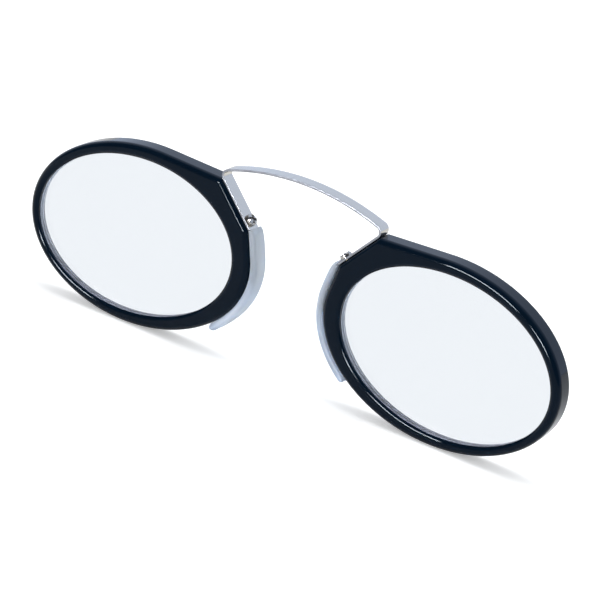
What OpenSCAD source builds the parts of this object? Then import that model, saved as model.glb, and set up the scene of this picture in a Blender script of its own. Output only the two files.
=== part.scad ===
// Armless reading glasses of the pince-nez kind: two oval plastic rims hang
// from one flat spring strip that arches over the nose and grips it with
// two silicone pads. Worn attitude: X across the face, fronts face -Y, Z up.
// The origin is between the pads, level with the lens centres, half way
// through the rims. Each side is drawn once at +X and mirrored.

/* [Lenses] */
// Distance between the two lens centres
lens_spacing = 64; // [60:0.5:70]
// Long axis of the lens opening
lens_w = 41.4; // [34:0.1:44]
// Short axis of the lens opening
lens_h = 29; // [24:0.1:31]
// How far the outer end of the lens opening dips, in degrees
lens_angle = 4.6; // [0:0.1:8]
// Thickness of the lens at the ends of its long axis
lens_edge = 2.2; // [1.8:0.05:2.4]
// Radius of the domed front of the lens, about +2 dioptres with a flat back
lens_radius = 290; // [240:5:600]
// How far the lens edge sits behind the front of the rim
lens_setback = 0.8; // [0.75:0.05:1]
// How far the lens tongue reaches into the groove of the rim
tongue_depth = 0.5; // [0.3:0.05:0.7]
// Width of the lens tongue, front to back
tongue_width = 0.8; // [0.5:0.05:1]

/* [Rims] */
// Width of the rim beside the nose
wall_nose = 3.6; // [3.2:0.1:4.5]
// Width of the rim at its outer end
wall_outer = 1.8; // [1.5:0.1:3]
// Width of the rim above the lens
wall_top = 2.3; // [1.6:0.1:3]
// Width of the rim below the lens
wall_bottom = 2.1; // [1.5:0.1:3]
// How far the outer end of the rim dips, in degrees
rim_angle = 3.7; // [0:0.1:8]
// Depth of the rim, front to back
rim_depth = 3.8; // [3.4:0.1:4.6]
// Radius on the upper corner of the rim
corner_round = 0.5; // [0.2:0.05:1]

/* [Spring seat] */
// Distance of the rim's upper corner from its end beside the nose
corner_in = 8.3; // [7.6:0.1:9]
// How far the upper corner lies below the top of the rim
corner_drop = 0.6; // [0.3:0.05:0.9]
// Slope of the flat seat that carries the spring strip, in degrees
seat_slope = 48; // [44:0.5:52]
// Length of the flat seat
seat_len = 10; // [9.4:0.1:10.6]

/* [Spring strip] */
// Width of the strip, front to back
strip_w = 2.8; // [2.4:0.05:3]
// Thickness of the strip
strip_t = 0.4; // [0.3:0.02:0.5]
// Radius of the arch over the nose, to the middle of the strip
arch_radius = 46.2; // [40:0.5:60]
// How far the arch rises above the upper corners of the rims
arch_rise = 4.6; // [4:0.1:6]
// Radius of the bend at each end of the arch, to the middle of the strip
bend_radius = 1.1; // [0.8:0.05:1.4]
// Place on the arch about which each side flexes, in degrees from the top
flex_angle = 10; // [7:0.5:13]
// Length of the strip inside the nose pad
tail_len = 11; // [6:0.5:14]
// Radius of the bend where the strip turns down into the pad
tail_round = 2; // [1:0.1:3]
// Width of the strip inside the nose pad
tail_w = 1.9; // [1.4:0.1:2.1]

/* [Screws] */
// Distance of the screw from the lower end of the seat
screw_in = 1.4; // [1.2:0.1:2]
// Diameter of the screw head
head_d = 2.2; // [1.8:0.1:2.4]
// Height of the screw head
head_h = 0.75; // [0.4:0.05:0.9]
// Diameter of the screw shank
shank_d = 1.2; // [1:0.1:1.3]
// Length of the shank below the strip
shank_len = 2.2; // [1.6:0.1:2.3]
// Outer diameter of the threaded insert
insert_d = 1.8; // [1.7:0.1:2.1]
// Length of the threaded insert
insert_len = 2.5; // [2.4:0.1:2.8]

/* [Nose pads] */
// Thickness of the pad, from the rim to the nose
pad_t = 1.45; // [1.3:0.05:1.8]
// Depth of the pad, front to back, measured from the back of the rim
pad_depth = 3.5; // [2.8:0.1:3.7]
// Direction of the pad's lower end on the rim's oval, in degrees
pad_angle = 225; // [205:1:235]
// Thickness of the pad at its upper end
pad_tip = 0.8; // [0.7:0.05:1.2]
// Length over which the pad thickens from its upper end
pad_taper = 3; // [1:0.1:5]

/* [Fits] */
// Gap between pieces that are pressed or laid together
seat_gap = 0.02; // [0.01:0.01:0.05]
// Gap between the lens and its groove, and between the strip and its pocket
loose_gap = 0.05; // [0.03:0.01:0.08]
// Gap at the place where the strip is cut so that each side can flex
flex_gap = 0.1; // [0.08:0.01:0.16]

/* [Hidden] */

oval_steps = 96;
front = -rim_depth / 2;
back = rim_depth / 2;
lens_at = [lens_spacing / 2, 0];
rim_w = lens_w + wall_nose + wall_outer;
rim_h = lens_h + wall_top + wall_bottom;
rim_at = lens_at + [wall_outer - wall_nose, wall_top - wall_bottom] / 2;

// Unit vectors of the seat: up along it, and out of it towards the nose.
seat_up = [cos(seat_slope), sin(seat_slope)];
seat_out = [-sin(seat_slope), cos(seat_slope)];
corner = rim_at + [corner_in - rim_w / 2, rim_h / 2 - corner_drop];
seat_end = corner - seat_up * seat_len;
screw_foot = seat_end + seat_up * screw_in;

function unit(v) = v / norm(v);
function turned(v, a) = [v[0] * cos(a) - v[1] * sin(a), v[0] * sin(a) + v[1] * cos(a)];
function left_of(v) = [-v[1], v[0]];

// A point of an oval, and its outward normal, at direction a.
function oval_point(at, w, h, dip, a) = at + turned([w / 2 * cos(a), h / 2 * sin(a)], -dip);
function oval_normal(w, h, dip, a) = unit(turned([h * cos(a), w * sin(a)], -dip));

// Direction on the rim's oval where a line from the outside point p touches it.
function touch(p, side) =
    let (q = turned(p - rim_at, rim_angle), r = [q[0] * 2 / rim_w, q[1] * 2 / rim_h],
         a = atan2(r[1], r[0]))
    (a < 0 ? a + 360 : a) + side * acos(1 / norm(r));
touch_top = touch(corner, -1);
touch_low = touch(seat_end, 1);

function rim_point(a) = oval_point(rim_at, rim_w, rim_h, rim_angle, a);
function rim_normal(a) = oval_normal(rim_w, rim_h, rim_angle, a);

// Arc that rounds the corner b of the path a, b, c.
function rounded(a, b, c, r, n = 6) =
    let (u = unit(a - b), v = unit(c - b), half = acos(u * v) / 2,
         m = b + unit(u + v) * r / sin(half), s = u * (r / tan(half)) + b - m,
         e = v * (r / tan(half)) + b - m, turn = s[0] * e[1] - s[1] * e[0] > 0 ? 1 : -1)
    [for (i = [0 : n]) m + turned(s, turn * (180 - 2 * half) * i / n)];

// Strip of thickness t along a path.
function tangent(p, i) = unit(p[min(i + 1, len(p) - 1)] - p[max(i - 1, 0)]);
function side_of(p, d) = [for (i = [0 : len(p) - 1]) p[i] + left_of(tangent(p, i)) * d];
function reversed(p) = [for (i = [len(p) - 1 : -1 : 0]) p[i]];
function ribbon(p, t) = concat(side_of(p, t / 2), reversed(side_of(p, -t / 2)));

function arc(c, r, a0, a1, n) =
    [for (i = [0 : n]) let (a = a0 + (a1 - a0) * i / n) c + r * [cos(a), sin(a)]];

// The strip's middle line: arch, bend, then down the seat.
arch_at = [0, corner[1] + arch_rise - strip_t / 2 - arch_radius];
line_top = corner + seat_out * (seat_gap + strip_t / 2);
bend_from = line_top + seat_out * bend_radius - arch_at;
bend_reach = arch_radius - bend_radius;
bend_slide = sqrt(pow(bend_from * seat_up, 2) - bend_from * bend_from + bend_reach * bend_reach)
             - bend_from * seat_up;
bend_at = arch_at + bend_from + seat_up * bend_slide;
bend_start = atan2(bend_at[1] - arch_at[1], bend_at[0] - arch_at[0]);
arch_line = arc(arch_at, arch_radius, 90 - flex_angle, bend_start, 12);
bend_line = arc(bend_at, bend_radius, bend_start, seat_slope - 90, 10);

// Below the seat the rim runs straight on to its oval; the pad lies on it.
low_dir = unit(rim_point(touch_low) - seat_end);
low_out = -left_of(low_dir);
low_len = norm(rim_point(touch_low) - seat_end);
pad_steps = 16;

// A point d away from the rim, s along the straight part or at direction a.
function low_point(s, d) = seat_end + low_dir * s + low_out * d;
function oval_out(a, d) = rim_point(a) + rim_normal(a) * d;
function pad_at(s) = seat_gap + (s >= pad_taper ? pad_t
    : pad_tip + (pad_t - pad_tip) * sqrt(1 - pow(1 - s / pad_taper, 2)));

function pad_turn(i) = touch_low + (pad_angle - touch_low) * i / pad_steps;
pad_nose = concat([for (i = [0 : 11]) let (s = low_len * i / 12) low_point(s, pad_at(s))],
                  [for (i = [0 : pad_steps]) oval_out(pad_turn(i), seat_gap + pad_t)]);
pad_rim = concat([low_point(0, seat_gap)],
                 [for (i = [0 : pad_steps]) oval_out(pad_turn(i), seat_gap)]);

// The strip's tail runs on from the seat and turns down inside the pad.
tail_in = seat_gap + pad_t * 0.45;
tail_from = low_point(0, tail_in) - line_top;
tail_bend = line_top + seat_up * (tail_from[0] * low_dir[1] - tail_from[1] * low_dir[0])
    / (seat_up[0] * low_dir[1] - seat_up[1] * low_dir[0]);
tail_turn = (tail_len - low_len) / (rim_w + rim_h) * 4 * 180 / PI;
tail_line = [for (i = [0 : 8]) oval_out(touch_low + tail_turn * i / 8, tail_in)];
strip_line = concat(arch_line, [for (i = [1 : len(bend_line) - 1]) bend_line[i]],
                    rounded(bend_line[len(bend_line) - 1], tail_bend, tail_line[0], tail_round),
                    tail_line);

// Plate between y0 and y1 with the outline of its children, drawn in X and Z.
module plate(y0, y1) {
    rotate([90, 0, 0]) translate([0, 0, -y1]) linear_extrude(y1 - y0) children();
}

module mirrored(left) {
    if (left) mirror([1, 0, 0]) children();
    else children();
}

// Puts its children on the seat, with their Z axis pointing out of it.
module on_seat(lift) {
    at = screw_foot + seat_out * lift;
    translate([at[0], 0, at[1]]) rotate([0, -seat_slope, 0]) children();
}

module lens_oval(grow) {
    polygon([for (i = [0 : oval_steps - 1])
        let (a = 360 * i / oval_steps)
        oval_point(lens_at, lens_w, lens_h, lens_angle, a)
            + oval_normal(lens_w, lens_h, lens_angle, a) * grow]);
}

lens_front = front + lens_setback;
lens_back = lens_front + lens_edge;
tongue_front = (lens_front + lens_back - tongue_width) / 2;
tongue_back = tongue_front + tongue_width;

module rim(left) {
    span = touch_low - 360 - touch_top;
    outline = concat(
        [for (i = [0 : oval_steps]) rim_point(touch_top + span * i / oval_steps)],
        [seat_end],
        rounded(seat_end, corner, rim_point(touch_top), corner_round));
    color([0.08, 0.1, 0.14]) mirrored(left) difference() {
        plate(front, back) polygon(outline);
        plate(front - 1, back + 1) lens_oval(0);
        plate(tongue_front - loose_gap, tongue_back + loose_gap)
            lens_oval(tongue_depth + loose_gap);
        on_seat(-insert_len - seat_gap)
            cylinder(d = insert_d + 2 * seat_gap, h = insert_len + 1, $fn = 48);
    }
}

module lens(left) {
    // Dome: the height of a sphere over the lens edge at each distance.
    reach = lens_w / 2 + 0.5;
    function rise(r) = sqrt(lens_radius * lens_radius - r * r)
                       - sqrt(lens_radius * lens_radius - lens_w * lens_w / 4);
    color([0.85, 0.9, 0.95, 0.5]) mirrored(left) {
        intersection() {
            translate([lens_at[0], lens_back, lens_at[1]]) rotate([90, 0, 0])
                rotate_extrude($fn = 96) polygon(concat([[0, 0]], [[reach, 0]],
                    [for (i = [10 : -1 : 0]) [reach * i / 10, lens_edge + rise(reach * i / 10)]]));
            plate(front, lens_back) lens_oval(-loose_gap);
        }
        difference() {
            plate(tongue_front, tongue_back) lens_oval(tongue_depth);
            plate(tongue_front - 1, tongue_back + 1) lens_oval(-1);
        }
    }
}

module bridge_arch() {
    half = flex_angle - flex_gap / 2 / arch_radius * 180 / PI;
    color([0.75, 0.77, 0.8]) plate(-strip_w / 2, strip_w / 2)
        polygon(ribbon(arc(arch_at, arch_radius, 90 - half, 90 + half, 20), strip_t));
}

// The strip is narrower from the end of the seat on, inside the pad.
module tail_sides() {
    at = line_top - seat_up * (seat_len - pad_tip / 2);
    below = [0, -2 * tail_len];
    for (y = [-strip_w, tail_w / 2]) plate(y, y + strip_w - tail_w / 2)
        polygon([at - seat_out * pad_t, at + seat_out * seat_len,
                 at + seat_out * seat_len + below, at - seat_out * pad_t + below]);
}

module spring_leg(left) {
    color([0.75, 0.77, 0.8]) mirrored(left) difference() {
        plate(-strip_w / 2, strip_w / 2) difference() {
            polygon(ribbon(strip_line, strip_t));
            // Room for the arch at the place where the strip flexes.
            translate(arch_line[0]) rotate(-flex_angle)
                square([flex_gap, 4 * strip_t], center = true);
        }
        tail_sides();
        on_seat(-1) cylinder(d = shank_d + 2 * loose_gap, h = 3, $fn = 48);
    }
}

module thread_insert(left) {
    color([0.8, 0.65, 0.35]) mirrored(left) on_seat(-insert_len) difference() {
        cylinder(d = insert_d, h = insert_len, $fn = 48);
        translate([0, 0, -1]) cylinder(d = shank_d + 2 * seat_gap, h = insert_len + 2, $fn = 48);
    }
}

module screw(left) {
    under_head = 2 * seat_gap + strip_t;
    color([0.7, 0.71, 0.73]) mirrored(left) on_seat(under_head) difference() {
        rotate_extrude($fn = 48) polygon([
            [0, head_h], [head_d / 2 - 0.15, head_h], [head_d / 2, head_h - 0.15],
            [head_d / 2, 0], [shank_d / 2, 0],
            [shank_d / 2, -under_head - shank_len + 0.2],
            [shank_d / 2 - 0.2, -under_head - shank_len], [0, -under_head - shank_len]]);
        for (a = [0, 90]) rotate(a) translate([0, 0, head_h])
            cube([head_d * 0.62, head_d * 0.16, head_h], center = true);
    }
}

module nose_pad(left) {
    end_dir = left_of(rim_normal(pad_angle));
    tail_end = tail_line[len(tail_line) - 1];
    tail_dir = left_of(rim_normal(touch_low + tail_turn));
    color([0.7, 0.76, 0.84]) mirrored(left) difference() {
        plate(back - pad_depth, back) union() {
            polygon(concat(pad_nose, reversed(pad_rim)));
            translate(oval_out(pad_angle, seat_gap + pad_t / 2)) circle(d = pad_t, $fn = 32);
        }
        plate(-tail_w / 2 - loose_gap, tail_w / 2 + loose_gap)
            polygon(ribbon(concat(strip_line, [tail_end + tail_dir * loose_gap]),
                           strip_t + 2 * loose_gap));
    }
}

bridge_arch();
spring_leg(true);  // spring_leg_left
spring_leg(false);  // spring_leg_right
rim(true);  // rim_left
rim(false);  // rim_right
lens(true);  // lens_left
lens(false);  // lens_right
thread_insert(true);  // thread_insert_left
thread_insert(false);  // thread_insert_right
screw(true);  // screw_left
screw(false);  // screw_right
nose_pad(true);  // nose_pad_left
nose_pad(false);  // nose_pad_right
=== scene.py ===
import math

import bmesh
import bpy
from mathutils import Matrix, Vector


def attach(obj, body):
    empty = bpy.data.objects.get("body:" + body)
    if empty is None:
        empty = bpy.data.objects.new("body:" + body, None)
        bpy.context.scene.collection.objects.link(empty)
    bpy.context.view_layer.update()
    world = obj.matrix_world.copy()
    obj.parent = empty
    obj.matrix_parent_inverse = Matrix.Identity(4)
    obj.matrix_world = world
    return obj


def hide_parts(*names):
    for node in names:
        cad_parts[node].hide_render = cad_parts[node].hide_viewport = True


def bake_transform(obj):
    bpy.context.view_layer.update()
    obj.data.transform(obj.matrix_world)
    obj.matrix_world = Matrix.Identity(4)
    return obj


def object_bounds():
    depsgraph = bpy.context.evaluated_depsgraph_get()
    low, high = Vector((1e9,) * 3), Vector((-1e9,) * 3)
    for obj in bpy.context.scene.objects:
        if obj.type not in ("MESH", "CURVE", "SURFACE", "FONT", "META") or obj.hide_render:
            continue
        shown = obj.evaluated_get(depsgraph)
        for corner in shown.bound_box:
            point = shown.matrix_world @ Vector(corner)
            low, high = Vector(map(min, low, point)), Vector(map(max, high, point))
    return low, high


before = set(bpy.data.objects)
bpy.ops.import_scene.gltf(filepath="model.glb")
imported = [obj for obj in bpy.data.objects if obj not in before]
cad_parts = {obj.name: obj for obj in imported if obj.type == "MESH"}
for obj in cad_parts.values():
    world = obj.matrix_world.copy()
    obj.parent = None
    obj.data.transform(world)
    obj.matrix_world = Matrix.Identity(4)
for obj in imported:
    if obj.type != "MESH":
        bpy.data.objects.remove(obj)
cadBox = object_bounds()

mm = 0.001
sameSpot = 1e-4  # points closer than this many millimetres are one
yAxis = Vector((0, 1, 0))
bothSides = ((-1, "Left"), (1, "Right"))


# Small helpers. All shapes are drawn in millimetres at +X and mirrored for the left side.

def onFace(x, z, y=0.0):
    return Vector((x, y, z))


def turned(v, degrees):  # turns a point of the X-Z plane, positive from X to Z
    c, s = math.cos(math.radians(degrees)), math.sin(math.radians(degrees))
    return Vector((v.x * c - v.z * s, v.y, v.x * s + v.z * c))


def ovalPoint(oval, a, out=0.0):
    flat = onFace(oval["w"] / 2 * math.cos(a), oval["h"] / 2 * math.sin(a))
    normal = onFace(oval["h"] * math.cos(a), oval["w"] * math.sin(a)).normalized()
    return onFace(oval["x"], oval["z"]) + turned(flat + normal * out, -oval["dip"])


def ovalShares(oval, p):  # how far out p lies along the oval's two half axes, 1 on the oval itself
    q = turned(p - onFace(oval["x"], oval["z"]), oval["dip"])
    return q.x * 2 / oval["w"], q.z * 2 / oval["h"]


def directionOf(oval, p):
    u, v = ovalShares(oval, p)
    return math.atan2(v, u) % (2 * math.pi)


def touchAngle(oval, p, side):  # where a line from the outside point p touches the oval
    return directionOf(oval, p) + side * math.acos(1 / math.hypot(*ovalShares(oval, p)))


def arcThrough(a, b, c, radius, steps):  # rounds the corner b of the path a, b, c
    u, v = (a - b).normalized(), (c - b).normalized()
    half = u.angle(v) / 2
    centre = b + (u + v).normalized() * radius / math.sin(half)
    start, end = b + u * radius / math.tan(half) - centre, b + v * radius / math.tan(half) - centre
    return [centre + start.lerp(end, i / steps).normalized() * radius for i in range(steps + 1)]


def quarter(steps):  # sine and cosine along a quarter turn
    return [(math.sin(math.pi / 2 * i / steps), math.cos(math.pi / 2 * i / steps))
            for i in range(steps + 1)]


def growLoops(bm, loops):  # a skin through rings of points, each grown out of the last
    station = bm.verts.layers.int.new("station")
    ring = bmesh.ops.create_circle(bm, segments=len(loops[0]), radius=1)["verts"]
    for i, v in enumerate(ring):
        v[station] = i
    edges = bm.edges[:]
    for i, points in enumerate(loops):
        if i:
            grown = bmesh.ops.extrude_edge_only(bm, edges=edges)["geom"]
            ring = [g for g in grown if isinstance(g, bmesh.types.BMVert)]
            fresh = set(ring)
            edges = [g for g in grown if isinstance(g, bmesh.types.BMEdge) and set(g.verts) <= fresh]
        for v in ring:
            v.co = points[v[station]]
    bmesh.ops.remove_doubles(bm, verts=bm.verts, dist=sameSpot)
    bmesh.ops.recalc_face_normals(bm, faces=bm.faces)


def finishPiece(bm, name, looks, side, creaseDegrees=30):
    if side < 0:
        bmesh.ops.scale(bm, vec=(-1, 1, 1), verts=bm.verts)
    bmesh.ops.scale(bm, vec=(mm, mm, mm), verts=bm.verts)
    bmesh.ops.remove_doubles(bm, verts=bm.verts, dist=sameSpot * mm)
    bmesh.ops.recalc_face_normals(bm, faces=bm.faces)
    mesh = bpy.data.meshes.new(name)
    bm.to_mesh(mesh)
    bm.free()
    mesh.polygons.foreach_set("use_smooth", [True] * len(mesh.polygons))
    mesh.set_sharp_from_angle(angle=math.radians(creaseDegrees))
    for look in looks:
        mesh.materials.append(finishes[look])
    piece = bpy.data.objects.new(name, mesh)
    bpy.context.scene.collection.objects.link(piece)
    weighted = piece.modifiers.new("evenShading", "WEIGHTED_NORMAL")
    weighted.keep_sharp = True
    return piece


# Sizes that several pieces share.

lensOval = dict(x=32.0, z=0.0, w=41.4, h=29.0, dip=4.6)
rimOval = dict(x=31.1, z=0.1, w=46.8, h=33.4, dip=3.7)
corner = onFace(16.0, 16.2)  # where the top wall of the rim meets the flat seat of the strip
seatLength, seatSlope = 10.0, 48.0
seatUp = onFace(math.cos(math.radians(seatSlope)), math.sin(math.radians(seatSlope)))
seatOut = onFace(-seatUp.z, seatUp.x)
seatEnd = corner - seatUp * seatLength
touchTop = touchAngle(rimOval, corner, -1)
touchLow = touchAngle(rimOval, seatEnd, 1)
lowDir = ovalPoint(rimOval, touchLow) - seatEnd
lowLength = lowDir.length
lowDir.normalize()
lowOut = onFace(lowDir.z, -lowDir.x)


# Materials

def newMaterial(name):
    material = bpy.data.materials.new(name)
    material.use_nodes = True
    tree = material.node_tree
    shader = tree.nodes["Principled BSDF"]
    return material, tree, shader


def addNode(tree, kind, **settings):
    node = tree.nodes.new(kind)
    for key, value in settings.items():
        setattr(node, key, value)
    return node


def objectPlace(tree):
    return addNode(tree, "ShaderNodeTexCoord").outputs["Object"]


def noiseOf(tree, vector, scale, detail, roughness=0.5):
    noise = addNode(tree, "ShaderNodeTexNoise")
    noise.inputs["Scale"].default_value = scale
    noise.inputs["Detail"].default_value = detail
    noise.inputs["Roughness"].default_value = roughness
    tree.links.new(vector, noise.inputs["Vector"])
    return noise.outputs["Fac"]


def spread(tree, value, low, high, fromLow=0.3, fromHigh=0.7):
    ramp = addNode(tree, "ShaderNodeMapRange")
    ramp.inputs["From Min"].default_value = fromLow
    ramp.inputs["From Max"].default_value = fromHigh
    ramp.inputs["To Min"].default_value = low
    ramp.inputs["To Max"].default_value = high
    tree.links.new(value, ramp.inputs["Value"])
    return ramp.outputs["Result"]


def bumpFrom(tree, shader, height, strength, distance):
    bump = addNode(tree, "ShaderNodeBump")
    bump.inputs["Strength"].default_value = strength
    bump.inputs["Distance"].default_value = distance
    tree.links.new(height, bump.inputs["Height"])
    tree.links.new(bump.outputs["Normal"], shader.inputs["Normal"])


def mixedColour(tree, factor, a, b):  # a and b are colours, or outputs of other nodes
    mix = addNode(tree, "ShaderNodeMix", data_type="RGBA")
    for name, colour in (("A", a), ("B", b)):
        if isinstance(colour, tuple):
            mix.inputs[name].default_value = (*colour, 1)
        else:
            tree.links.new(colour, mix.inputs[name])
    tree.links.new(factor, mix.inputs["Factor"])
    return mix.outputs["Result"]


def rimPlastic():
    look = dict(dark=(0.0015, 0.0058, 0.0135), light=(0.0026, 0.0086, 0.0185), clouds=260.0,
                smooth=0.05, dull=0.085, smears=900.0, shine=0.5, tint=(0.13, 0.145, 0.16), ior=1.5,
                waves=420.0, waveStrength=0.03, waveHeight=0.00005)
    material, tree, shader = newMaterial("rimPlastic")
    place = objectPlace(tree)
    cloud = noiseOf(tree, place, look["clouds"], 3.0)
    tree.links.new(mixedColour(tree, cloud, look["dark"], look["light"]), shader.inputs["Base Color"])
    smear = noiseOf(tree, place, look["smears"], 4.0)
    tree.links.new(spread(tree, smear, look["smooth"], look["dull"]), shader.inputs["Roughness"])
    shader.inputs["Specular IOR Level"].default_value = look["shine"]
    shader.inputs["Specular Tint"].default_value = (*look["tint"], 1)
    shader.inputs["IOR"].default_value = look["ior"]
    bumpFrom(tree, shader, noiseOf(tree, place, look["waves"], 2.0), look["waveStrength"], look["waveHeight"])
    return material


def clearPlastic():
    look = dict(tint=(0.866, 0.904, 0.944), haze=(0.855, 0.893, 0.935), clouds=60.0, rough=0.0, ior=1.49)
    material, tree, shader = newMaterial("clearPlastic")
    place = objectPlace(tree)
    cloud = noiseOf(tree, place, look["clouds"], 2.0)
    tree.links.new(mixedColour(tree, cloud, look["tint"], look["haze"]), shader.inputs["Base Color"])
    shader.inputs["Roughness"].default_value = look["rough"]
    shader.inputs["Transmission Weight"].default_value = 1.0
    shader.inputs["IOR"].default_value = look["ior"]
    return material


def groundEdge():  # the cut rim of a lens, left matt by the grinding wheel; painted shade makes it darker low down
    look = dict(dark=(0.6, 0.65, 0.74), light=(0.74, 0.79, 0.87), grit=1400.0, smooth=0.5, dull=0.7,
                gritStrength=0.1, gritHeight=0.00003,
                below=(0.08, 0.09, 0.125), darkFrom=-0.012, paleFrom=0.006)  # darker low down: painted shade
    material, tree, shader = newMaterial("groundEdge")
    place = objectPlace(tree)
    grit = noiseOf(tree, place, look["grit"], 4.0)
    pale = mixedColour(tree, grit, look["dark"], look["light"])
    height = addNode(tree, "ShaderNodeSeparateXYZ")
    tree.links.new(place, height.inputs[0])
    # painted shade: the edge colour darkens towards the bottom of the lens
    share = spread(tree, height.outputs["Z"], 0.0, 1.0, look["darkFrom"], look["paleFrom"])
    tree.links.new(mixedColour(tree, share, look["below"], pale), shader.inputs["Base Color"])
    tree.links.new(spread(tree, grit, look["smooth"], look["dull"]), shader.inputs["Roughness"])
    bumpFrom(tree, shader, grit, look["gritStrength"], look["gritHeight"])
    return material


def brushedSteel(name, look):  # long grain along the strip
    material, tree, shader = newMaterial(name)
    grain = addNode(tree, "ShaderNodeMapping")
    grain.inputs["Scale"].default_value = look["grain"]
    tree.links.new(addNode(tree, "ShaderNodeUVMap", uv_map="stripMap").outputs["UV"],
                   grain.inputs["Vector"])
    lines = noiseOf(tree, grain.outputs["Vector"], 1.0, 4.0, 0.6)
    tree.links.new(mixedColour(tree, lines, look["dark"], look["light"]), shader.inputs["Base Color"])
    tree.links.new(spread(tree, lines, look["smooth"], look["dull"]), shader.inputs["Roughness"])
    shader.inputs["Metallic"].default_value = 1.0
    return material


def springSteel():
    return brushedSteel("springSteel", dict(dark=(0.566, 0.54, 0.496), light=(0.642, 0.617, 0.57),
                                            smooth=0.12, dull=0.18, grain=(6.0, 260.0, 1.0)))


def paintedShadeCutSteel():  # the sheared sides of the strip, rougher than its faces; their dark colour is painted shade
    return brushedSteel("paintedShadeCutSteel", dict(dark=(0.17, 0.175, 0.195), light=(0.22, 0.23, 0.255),
                                         smooth=0.3, dull=0.36, grain=(6.0, 260.0, 1.0)))


def wornMetal(name, look):
    material, tree, shader = newMaterial(name)
    wear = noiseOf(tree, objectPlace(tree), look["wear"], 3.0)
    tree.links.new(mixedColour(tree, wear, look["dark"], look["light"]), shader.inputs["Base Color"])
    tree.links.new(spread(tree, wear, look["smooth"], look["dull"]), shader.inputs["Roughness"])
    shader.inputs["Metallic"].default_value = 1.0
    return material


def screwSteel():
    return wornMetal("screwSteel", dict(dark=(0.32, 0.31, 0.3), light=(0.59, 0.565, 0.53),
                                        smooth=0.1, dull=0.2, wear=1800.0))


def insertBrass():
    return wornMetal("insertBrass", dict(dark=(0.66, 0.47, 0.2), light=(0.8, 0.62, 0.32),
                                         smooth=0.25, dull=0.42, wear=1500.0))


def padSilicone():
    look = dict(tint=(0.72, 0.81, 0.97), paler=(0.82, 0.89, 1.0), clouds=220.0, smooth=0.36, dull=0.46,
                smears=700.0, shine=0.12, ior=1.41, clear=0.6, softness=0.5, reach=0.0008,
                reachOfColours=(0.8, 0.9, 1.0))
    material, tree, shader = newMaterial("padSilicone")
    place = objectPlace(tree)
    cloud = noiseOf(tree, place, look["clouds"], 2.0)
    tree.links.new(mixedColour(tree, cloud, look["tint"], look["paler"]), shader.inputs["Base Color"])
    smear = noiseOf(tree, place, look["smears"], 3.0)
    tree.links.new(spread(tree, smear, look["smooth"], look["dull"]), shader.inputs["Roughness"])
    shader.inputs["Transmission Weight"].default_value = look["clear"]
    shader.inputs["Subsurface Weight"].default_value = look["softness"]
    shader.inputs["Subsurface Radius"].default_value = look["reachOfColours"]
    shader.inputs["Subsurface Scale"].default_value = look["reach"]
    shader.inputs["Specular IOR Level"].default_value = look["shine"]
    shader.inputs["IOR"].default_value = look["ior"]
    return material


finishes = dict(rim=rimPlastic(), lens=clearPlastic(), lensEdge=groundEdge(), strip=springSteel(),
                stripEdge=paintedShadeCutSteel(), screw=screwSteel(), insert=insertBrass(), pad=padSilicone())
print("materials made")


# Rims

rimSizes = dict(front=-1.9, back=1.9, outerRound=1.05, outerDeep=1.1, innerRound=0.75, innerSlope=48.0,
                backRound=0.3, lensSideRound=0.75, cornerEdge=0.5, cornerFace=0.9, kinkEdge=0.4, kinkFace=1.2,
                grooveDepth=0.55, grooveFront=-0.45, grooveBack=0.45, ovalSteps=160, lineSteps=12,
                cornerSteps=8, kinkSteps=6, backSteps=4, outerSteps=9, innerSteps=8, lensSideSteps=6)
topDir = (corner - ovalPoint(rimOval, touchTop)).normalized()
topOut = onFace(topDir.z, -topDir.x)


def insetCorner(p, out1, out2, inset):  # the corner between two straight sides, both moved inwards
    return p - (out1 + out2) * inset / (1 + out1.dot(out2))


def rimOutline(inset=0.0):  # the oval, drawn out to the corner and the flat seat
    s = rimSizes
    share = min(1.0, inset / s["outerRound"])
    top, low = ovalPoint(rimOval, touchTop, -inset), ovalPoint(rimOval, touchLow, -inset)
    k = insetCorner(corner, topOut, seatOut, inset)
    e = insetCorner(seatEnd, seatOut, lowOut, inset)
    atCorner = arcThrough(top, k, e, s["cornerEdge"] + (s["cornerFace"] - s["cornerEdge"]) * share,
                          s["cornerSteps"])
    atKink = arcThrough(k, e, low, s["kinkEdge"] + (s["kinkFace"] - s["kinkEdge"]) * share,
                        s["kinkSteps"])
    points = []
    for start, end, bend in ((top, atCorner[0], atCorner), (atCorner[-1], atKink[0], atKink),
                             (atKink[-1], low, [])):
        points += [start.lerp(end, i / s["lineSteps"]) for i in range(s["lineSteps"])] + bend[:-1]
    turn = 2 * math.pi - (touchLow - touchTop)
    return points + [ovalPoint(rimOval, touchLow + turn * i / s["ovalSteps"], -inset)
                     for i in range(s["ovalSteps"])]


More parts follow.
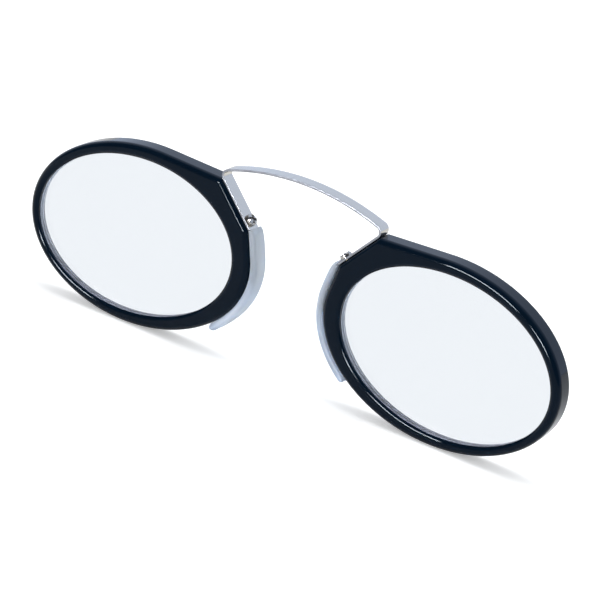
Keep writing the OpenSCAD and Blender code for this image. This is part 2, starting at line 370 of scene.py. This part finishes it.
def makeRim(side, sideName):
    s = rimSizes
    around = [directionOf(lensOval, p) for p in rimOutline()]
    loops = []

    def outside(inset, y):
        loops.append([p + yAxis * y for p in rimOutline(inset)])

    def inside(grow, y):
        loops.append([ovalPoint(lensOval, a, grow) + yAxis * y for a in around])

    for sine, cosine in quarter(s["backSteps"]):
        outside(s["backRound"] * (1 - sine), s["back"] - s["backRound"] * (1 - cosine))
    for sine, cosine in quarter(s["outerSteps"]):
        outside(s["outerRound"] * (1 - cosine), s["front"] + s["outerDeep"] * (1 - sine))
    slope = math.radians(s["innerSlope"])
    for i in range(s["innerSteps"] + 1):  # the front rounds over towards the lens and stops in a crease
        a = slope * i / s["innerSteps"]
        inside(s["innerRound"] * (1 - math.sin(a) / math.sin(slope)),
               s["front"] + s["innerRound"] * (1 - math.cos(a)) / math.sin(slope))
    for grow, y in ((0, "grooveFront"), (s["grooveDepth"], "grooveFront"),
                    (s["grooveDepth"], "grooveBack"), (0, "grooveBack")):
        inside(grow, s[y])
    for sine, cosine in quarter(s["lensSideSteps"]):
        inside(s["lensSideRound"] * (1 - cosine), s["back"] - s["lensSideRound"] * (1 - sine))
    bm = bmesh.new()
    growLoops(bm, loops + loops[:1])
    piece = finishPiece(bm, "rimShell" + sideName, ["rim"], side)
    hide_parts("rim_" + sideName.lower())
    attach(piece, sideName.lower() + "_side")


# Lenses

lensSizes = dict(front=-1.1, edge=2.2, radius=290.0, gap=0.05, tongue=0.5, tongueWidth=0.8,
                 backRing=0.5, steps=192, rings=14)


def makeLens(side, sideName):
    s = lensSizes
    bm = bmesh.new()
    back = s["front"] + s["edge"]
    middle = (s["front"] + back) / 2
    half = s["tongueWidth"] / 2
    reach = lensOval["w"] / 2 - s["gap"]
    low = math.sqrt(s["radius"] ** 2 - (lensOval["w"] / 2) ** 2)

    def dome(r):
        return s["front"] - (math.sqrt(s["radius"] ** 2 - r * r) - low)

    outline = [(reach * i / s["rings"], dome(reach * i / s["rings"])) for i in range(s["rings"] + 1)]
    outline += [(reach, middle - half), (reach + s["gap"] + s["tongue"], middle - half),
                (reach + s["gap"] + s["tongue"], middle + half), (reach, middle + half),
                (reach, back), (reach - s["backRing"], back), (0, back)]
    verts = [bm.verts.new((r, y, 0)) for r, y in outline]
    edges = [bm.edges.new(pair) for pair in zip(verts, verts[1:])]
    bmesh.ops.spin(bm, geom=verts + edges, cent=(0, 0, 0), axis=(0, 1, 0), dvec=(0, 0, 0),
                   angle=math.radians(360), steps=s["steps"], use_merge=True)
    bmesh.ops.remove_doubles(bm, verts=bm.verts, dist=sameSpot)
    for face in bm.faces:  # the tongue and the edge are ground, not polished
        at = face.calc_center_median()
        face.material_index = int(math.hypot(at.x, at.z) > reach - s["gap"])
    shorter = (lensOval["h"] / 2 - s["gap"]) / reach
    bmesh.ops.scale(bm, vec=(1, 1, shorter), verts=bm.verts)
    for v in bm.verts:  # the dome stays a true sphere under the oval outline
        if v.co.y < s["front"]:
            v.co.y = dome(math.hypot(v.co.x, v.co.z))
    bmesh.ops.transform(bm, verts=bm.verts,
                        matrix=Matrix.Translation(onFace(lensOval["x"], lensOval["z"]))
                        @ Matrix.Rotation(math.radians(lensOval["dip"]), 4, "Y"))
    piece = finishPiece(bm, "lensBlank" + sideName, ["lens", "lensEdge"], side)
    piece.visible_shadow = False  # a clear lens hardly shades the floor
    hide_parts("lens_" + sideName.lower())
    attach(piece, sideName.lower() + "_side")


# A bar swept along a path in the X-Z plane. A stop is a point, a thickness, and the Y of both sides.

roundSegments = 5  # in each rounded edge of the bar


def sweep(bm, thickness, width, rounds, stops):
    def placeOf(i):
        point, thick, y0, y1 = stops[i]
        along = (stops[min(i + 1, len(stops) - 1)][0] - stops[max(i - 1, 0)][0]).normalized()
        across = onFace(along.z, -along.x)  # to the right of the path
        turn = Matrix((across * (thick / thickness), yAxis * ((y1 - y0) / width), along))
        return Matrix.Translation(point + yAxis * (y0 + y1) / 2) @ turn.transposed().to_4x4()

    corners = [bm.verts.new((u * thickness / 2, v * width / 2, 0))
               for u, v in ((-1, -1), (1, -1), (1, 1), (-1, 1))]
    bm.faces.new(corners)
    for v, r in zip(corners, rounds):
        bmesh.ops.bevel(bm, geom=[v], offset=r, offset_type="OFFSET", segments=roundSegments, profile=0.5,
                        affect="VERTICES", clamp_overlap=True, material=-1)
    end = bm.faces[:][0]
    bmesh.ops.transform(bm, verts=end.verts, matrix=placeOf(0))
    for i in range(1, len(stops)):
        grown = bmesh.ops.extrude_face_region(bm, geom=[end])["geom"]
        if i > 1:  # only the first face stays, as the bar's end
            bmesh.ops.delete(bm, geom=[end], context="FACES_ONLY")
        end = next(g for g in grown if isinstance(g, bmesh.types.BMFace))
        bmesh.ops.transform(bm, verts=end.verts, matrix=placeOf(i) @ placeOf(i - 1).inverted())


def addStripMap(bm, stops):  # a map that follows the strip: length along it, place across it
    for face in bm.faces:
        # the sides take the edge finish, whose dark colour is painted shade
        face.material_index = int(abs(face.normal.y) > strip["sidesFrom"])
    along = [0.0]
    for a, b in zip(stops, stops[1:]):
        along.append(along[-1] + (b[0] - a[0]).length)
    layer = bm.loops.layers.uv.new("stripMap")
    for face in bm.faces:
        for loop in face.loops:
            at = onFace(loop.vert.co.x, loop.vert.co.z)
            near = min(range(len(stops)), key=lambda i: (stops[i][0] - at).length_squared)
            loop[layer].uv = (along[near] * strip["mapScale"], loop.vert.co.y * strip["mapScale"])


# Spring strip: the middle of the arch, and on each side the rest of it with bend, leg and tail

strip = dict(thickness=0.4, width=2.8, tailWidth=1.9, archRadius=46.2, archTop=20.8,
             bendRadius=1.1, gap=0.02, tailIn=0.6725, tailRound=2.0, tailTurn=15.4, edge=0.09,
             middle=3.0, narrowAt=0.05, archSteps=60, middleSteps=6, bendSteps=12, kneeSteps=6,
             tailSteps=8, spacing=0.8, sidesFrom=0.25, mapScale=0.1,
             flexFrom=(3.2, 20.7), flexTo=(10.86, 15.3))  # slanted, so the legs stay stiff
archCentre = onFace(0, strip["archTop"] - strip["thickness"] / 2 - strip["archRadius"])


def archPoint(degreesFromTop):
    a = math.radians(degreesFromTop)
    return archCentre + onFace(math.sin(a), math.cos(a)) * strip["archRadius"]


def stripPath():
    legTop = corner + seatOut * (strip["gap"] + strip["thickness"] / 2)
    reach = strip["archRadius"] - strip["bendRadius"]
    fromArch = legTop + seatOut * strip["bendRadius"] - archCentre
    lift = fromArch.dot(seatUp)
    bendCentre = (archCentre + fromArch
                  + seatUp * (math.sqrt(lift ** 2 - fromArch.length_squared + reach ** 2) - lift))
    toBend = (bendCentre - archCentre).normalized()
    bendAngle = math.degrees(math.atan2(toBend.x, toBend.z))
    topAngle = math.degrees(math.asin(strip["middle"] / strip["archRadius"]))
    steps = strip["archSteps"]
    arch = [archPoint(topAngle + (bendAngle - topAngle) * i / steps) for i in range(steps + 1)]
    bend = []
    a0, a1 = 90 - bendAngle, seatSlope - 90  # the bend ends square to the seat
    for i in range(1, strip["bendSteps"] + 1):
        a = math.radians(a0 + (a1 - a0) * i / strip["bendSteps"])
        bend.append(bendCentre + onFace(math.cos(a), math.sin(a)) * strip["bendRadius"])
    steps = strip["tailSteps"]
    tail = [ovalPoint(rimOval, touchLow + math.radians(strip["tailTurn"] * i / steps), strip["tailIn"])
            for i in range(steps + 1)]
    tailTop = seatEnd + lowOut * strip["tailIn"]
    step = tailTop - legTop
    reachDown = (step.x * lowDir.z - step.z * lowDir.x) / (seatUp.x * lowDir.z - seatUp.z * lowDir.x)
    knee = arcThrough(bend[-1], legTop + seatUp * reachDown, tail[0], strip["tailRound"], strip["kneeSteps"])
    return arch, bend, knee, tail


def spacedLine(a, b):
    count = max(1, round((b - a).length / strip["spacing"]))
    return [a.lerp(b, i / count) for i in range(1, count)]


def makeStrip():
    arch, bend, knee, tail = stripPath()
    half, narrow = strip["width"] / 2, strip["tailWidth"] / 2
    legEnd = knee[0].lerp(bend[-1], strip["narrowAt"])
    wide = arch + bend + spacedLine(bend[-1], legEnd) + [legEnd]
    thin = knee + spacedLine(knee[-1], tail[0]) + tail
    stops = ([(p, strip["thickness"], -half, half) for p in wide]
             + [(p, strip["thickness"], -narrow, narrow) for p in thin])
    rounds = (strip["edge"],) * 4
    for side, sideName in bothSides:
        bm = bmesh.new()
        sweep(bm, strip["thickness"], strip["width"], rounds, stops)
        addStripMap(bm, stops)
        piece = finishPiece(bm, "springLeg" + sideName, ["strip", "stripEdge"], side)
        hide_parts("spring_leg_" + sideName.lower())
        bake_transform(piece)
    bm = bmesh.new()
    top = math.degrees(math.asin(strip["middle"] / strip["archRadius"]))
    steps = strip["middleSteps"]
    middle = [(archPoint(top * i / steps), strip["thickness"], -half, half) for i in range(-steps, steps + 1)]
    sweep(bm, strip["thickness"], strip["width"], rounds, middle)
    addStripMap(bm, middle)
    piece = finishPiece(bm, "springArch", ["strip", "stripEdge"], 1)
    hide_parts("bridge_arch")
    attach(piece, "bridge")


# Nose pads: a soft bar that follows the rim below the screw

pad = dict(thickness=1.45, tip=0.8, taper=3.0, gap=0.02, front=-1.6, back=1.9, endAngle=225.0,
           rimFront=0.6, noseFront=0.75, noseBack=0.5, rimBack=0.2,
           straightSteps=12, curveSteps=24, endSteps=7, endTurn=12.0, endShrink=0.35, endThinnest=0.15)


def makePad(side, sideName):
    s = pad
    steps = s["straightSteps"]
    rimSide = [(seatEnd + lowDir * lowLength * i / steps, lowOut, lowLength * i / steps)
               for i in range(steps)]
    for i in range(s["curveSteps"] + 1):
        a = touchLow + (math.radians(s["endAngle"]) - touchLow) * i / s["curveSteps"]
        at = ovalPoint(rimOval, a)
        rimSide.append((at, ovalPoint(rimOval, a, 1.0) - at, s["taper"]))
    stops = []
    for at, out, travelled in rimSide:
        thick = s["thickness"]
        if travelled < s["taper"]:
            thick = s["tip"] + (thick - s["tip"]) * math.sqrt(1 - (1 - travelled / s["taper"]) ** 2)
        stops.append((at + out * (s["gap"] + thick / 2), thick, s["front"], s["back"]))
    last, before = stops[-1][0], stops[-2][0]
    onward = (last - before).normalized()
    for i in range(1, s["endSteps"] + 1):  # rounded lower end
        a = math.radians(s["endTurn"] * i)
        shrink = s["endShrink"] * (1 - math.cos(a))
        stops.append((last + onward * s["thickness"] / 2 * math.sin(a),
                      s["thickness"] * max(math.cos(a), s["endThinnest"]),
                      s["front"] + shrink, s["back"] - shrink))
    bm = bmesh.new()
    sweep(bm, s["thickness"], s["back"] - s["front"],
          (s["rimFront"], s["noseFront"], s["noseBack"], s["rimBack"]), stops)
    piece = finishPiece(bm, "nosePad" + sideName, ["pad"], side)
    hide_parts("nose_pad_" + sideName.lower())
    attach(piece, sideName.lower() + "_side")


# Screws: a low domed head with a cross recess, on a plain shank

screw = dict(alongSeat=1.4, under=0.44, head=2.2, rim=0.45, dome=0.77, edgeRound=0.16, shank=1.2,
             shankLength=2.64, tip=0.2, armLength=0.84, armWidth=0.25, recess=0.45, narrowing=0.55,
             footRound=0.05, crown=(0.4, 0.7), lipReach=1.04, lipDrop=0.04, recessTip=0.08,
             turn=24.0, steps=96, edgeSteps=5)


def crossReach(a, length, width):  # how far a cross with four arms reaches in the direction a
    c, n = max(abs(math.cos(a)), 1e-6), max(abs(math.sin(a)), 1e-6)
    return max(min(length / c, width / n), min(length / n, width / c))


def makeScrew(side, sideName):
    s = screw
    foot = seatEnd + seatUp * s["alongSeat"] + seatOut * s["under"]
    half, shank = s["head"] / 2, s["shank"] / 2
    around = [2 * math.pi * (i + 0.5) / s["steps"] for i in range(s["steps"])]
    loops = []

    def ring(reach, height):  # reach is a radius, or a function of the direction
        far = [reach(a) if callable(reach) else reach for a in around]
        aim = [a + math.radians(s["turn"]) for a in around]
        loops.append([foot + seatOut * height + seatUp * (r * math.cos(a)) + yAxis * (r * math.sin(a))
                      for r, a in zip(far, aim)])

    def cross(share):
        return lambda a: crossReach(a, s["armLength"] * share, s["armWidth"] * share)

    for reach, height in ((0, -s["shankLength"]), (shank - s["tip"], -s["shankLength"]),
                          (shank, s["tip"] - s["shankLength"]), (shank, 0),
                          (half - s["footRound"], 0), (half, s["footRound"])):
        ring(reach, height)
    for sine, cosine in quarter(s["edgeSteps"]):
        ring(half - s["edgeRound"] * (1 - cosine), s["rim"] + s["edgeRound"] * sine)
    top, inner = s["rim"] + s["edgeRound"], half - s["edgeRound"]
    for share in s["crown"]:  # the crown rises a little towards the recess
        ring(lambda a: inner + (cross(1)(a) - inner) * share, top + (s["dome"] - top) * share ** 0.5)
    ring(cross(s["lipReach"]), s["dome"])
    ring(cross(1), s["dome"] - s["lipDrop"])
    ring(cross(s["narrowing"]), s["dome"] - s["recess"])
    ring(0, s["dome"] - s["recess"] - s["recessTip"])
    bm = bmesh.new()
    growLoops(bm, loops)
    piece = finishPiece(bm, "crossScrew" + sideName, ["screw"], side)
    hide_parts("screw_" + sideName.lower())
    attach(piece, sideName.lower() + "_side")


for side, sideName in bothSides:
    makeRim(side, sideName)
    makeLens(side, sideName)
    makePad(side, sideName)
    makeScrew(side, sideName)
makeStrip()
print("rims, lenses, strip, pads and screws made")

for nodeName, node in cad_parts.items():  # the inserts keep their CAD shape
    if nodeName.startswith("thread_insert_"):
        node.data.materials.clear()
        node.data.materials.append(finishes["insert"])
print("CAD pieces finished")


# Camera, floor and lights

view = dict(place=(0.244697, -0.451042, 0.213431), turn=(67.016, -8.9783, 32.0359), lens=192.58,
            sensor=36.0, nearest=0.01)
camera = bpy.data.objects.new("camera", bpy.data.cameras.new("camera"))
bpy.context.scene.collection.objects.link(camera)
camera.data.lens = view["lens"]
camera.data.sensor_width = view["sensor"]
camera.data.clip_start = view["nearest"]
camera.location = view["place"]
camera.rotation_euler = [math.radians(a) for a in view["turn"]]
bpy.context.scene.camera = camera
bpy.context.scene.view_settings.view_transform = "Standard"

room = dict(floorSize=6.0, floorColour=0.86, glow=0.36, world=0.75, worldColour=(0.95, 0.975, 1.0),
            mirrored=(0.77, 0.88, 1.1), frontDark=0.08, darkFrom=-0.2, whiteFrom=0.2)


def makeFloor():
    bm = bmesh.new()
    bmesh.ops.create_grid(bm, x_segments=1, y_segments=1, size=room["floorSize"] / 2)
    bmesh.ops.translate(bm, verts=bm.verts, vec=(0, 0, cadBox[0].z))
    mesh = bpy.data.meshes.new("floor")
    bm.to_mesh(mesh)
    bm.free()
    floor = bpy.data.objects.new("floor", mesh)
    bpy.context.scene.collection.objects.link(floor)
    material = bpy.data.materials.new("paper")
    material.use_nodes = True
    tree = material.node_tree
    tree.nodes.clear()
    output = addNode(tree, "ShaderNodeOutputMaterial")
    paper = addNode(tree, "ShaderNodeBsdfDiffuse")
    paper.inputs["Color"].default_value = (*(room["floorColour"],) * 3, 1)
    glow = addNode(tree, "ShaderNodeEmission")
    both = addNode(tree, "ShaderNodeAddShader")
    path = addNode(tree, "ShaderNodeLightPath").outputs
    level = addNode(tree, "ShaderNodeMath", operation="MULTIPLY")
    level.inputs[1].default_value = room["glow"]
    tree.links.new(path["Is Camera Ray"], level.inputs[0])
    tree.links.new(level.outputs[0], glow.inputs["Strength"])
    tree.links.new(paper.outputs[0], both.inputs[0])
    tree.links.new(glow.outputs[0], both.inputs[1])
    plain = addNode(tree, "ShaderNodeEmission")  # what the lenses and pads show of the paper
    throughGlass = addNode(tree, "ShaderNodeMixShader")
    tree.links.new(path["Is Transmission Ray"], throughGlass.inputs["Fac"])
    tree.links.new(both.outputs[0], throughGlass.inputs[1])
    tree.links.new(plain.outputs[0], throughGlass.inputs[2])
    tree.links.new(throughGlass.outputs[0], output.inputs["Surface"])
    mesh.materials.append(material)


def makeWorld():  # white all round to the eye, but reflections find it dark in front
    world = bpy.data.worlds.new("studio")
    bpy.context.scene.world = world
    world.use_nodes = True
    tree = world.node_tree
    tree.nodes.clear()
    output = addNode(tree, "ShaderNodeOutputWorld")
    path = addNode(tree, "ShaderNodeLightPath").outputs
    soft = addNode(tree, "ShaderNodeBackground")
    soft.inputs["Color"].default_value = (*room["worldColour"], 1)
    soft.inputs["Strength"].default_value = room["world"]
    white = addNode(tree, "ShaderNodeBackground")
    white.inputs["Color"].default_value = (1, 1, 1, 1)
    mirrored = addNode(tree, "ShaderNodeBackground")
    mirrored.inputs["Color"].default_value = (*room["mirrored"], 1)
    split = addNode(tree, "ShaderNodeSeparateXYZ")
    tree.links.new(addNode(tree, "ShaderNodeTexCoord").outputs["Generated"], split.inputs[0])
    tree.links.new(spread(tree, split.outputs["Y"], room["frontDark"], 1.0, room["darkFrom"],
                          room["whiteFrom"]), mirrored.inputs["Strength"])
    seen = addNode(tree, "ShaderNodeMath", operation="MAXIMUM")
    tree.links.new(path["Is Camera Ray"], seen.inputs[0])
    tree.links.new(path["Is Transmission Ray"], seen.inputs[1])
    directly = addNode(tree, "ShaderNodeMixShader")
    tree.links.new(seen.outputs[0], directly.inputs["Fac"])
    tree.links.new(soft.outputs[0], directly.inputs[1])
    tree.links.new(white.outputs[0], directly.inputs[2])
    inMirrors = addNode(tree, "ShaderNodeMixShader")
    tree.links.new(path["Is Glossy Ray"], inMirrors.inputs["Fac"])
    tree.links.new(directly.outputs[0], inMirrors.inputs[1])
    tree.links.new(mirrored.outputs[0], inMirrors.inputs[2])
    tree.links.new(inMirrors.outputs[0], output.inputs["Surface"])


# Each lamp is a soft box: where it hangs by compass and height, how far off, how wide and high, how bright.

lamps = dict(
    overhead=dict(compass=180, height=88, distance=1.2, size=(1.3, 0.5), brightness=3.6),
    frontLeft=dict(compass=-13, height=15, distance=1.2, size=(0.44, 0.2), brightness=130.0),
    frontRight=dict(compass=7, height=4.5, distance=1.2, size=(0.24, 0.18), brightness=130.0))


def makeLamps():
    for name, s in lamps.items():
        data = bpy.data.lights.new(name, "AREA")
        data.shape = "RECTANGLE"
        data.size, data.size_y = s["size"]
        data.energy = s["brightness"] * math.pi * s["size"][0] * s["size"][1]
        lamp = bpy.data.objects.new(name, data)
        bpy.context.scene.collection.objects.link(lamp)
        across, up = math.radians(s["compass"]), math.radians(s["height"])
        away = Vector((math.sin(across) * math.cos(up), -math.cos(across) * math.cos(up), math.sin(up)))
        lamp.location = away * s["distance"]
        lamp.rotation_euler = (-away).to_track_quat("-Z", "Y").to_euler()
        lights = name == "overhead"  # the front boxes only draw bright lines on the gloss
        lamp.visible_camera = False
        lamp.visible_glossy = not lights
        lamp.visible_diffuse = lights
        lamp.visible_transmission = lights


makeFloor()
makeWorld()
makeLamps()
print("camera, floor and lights made")
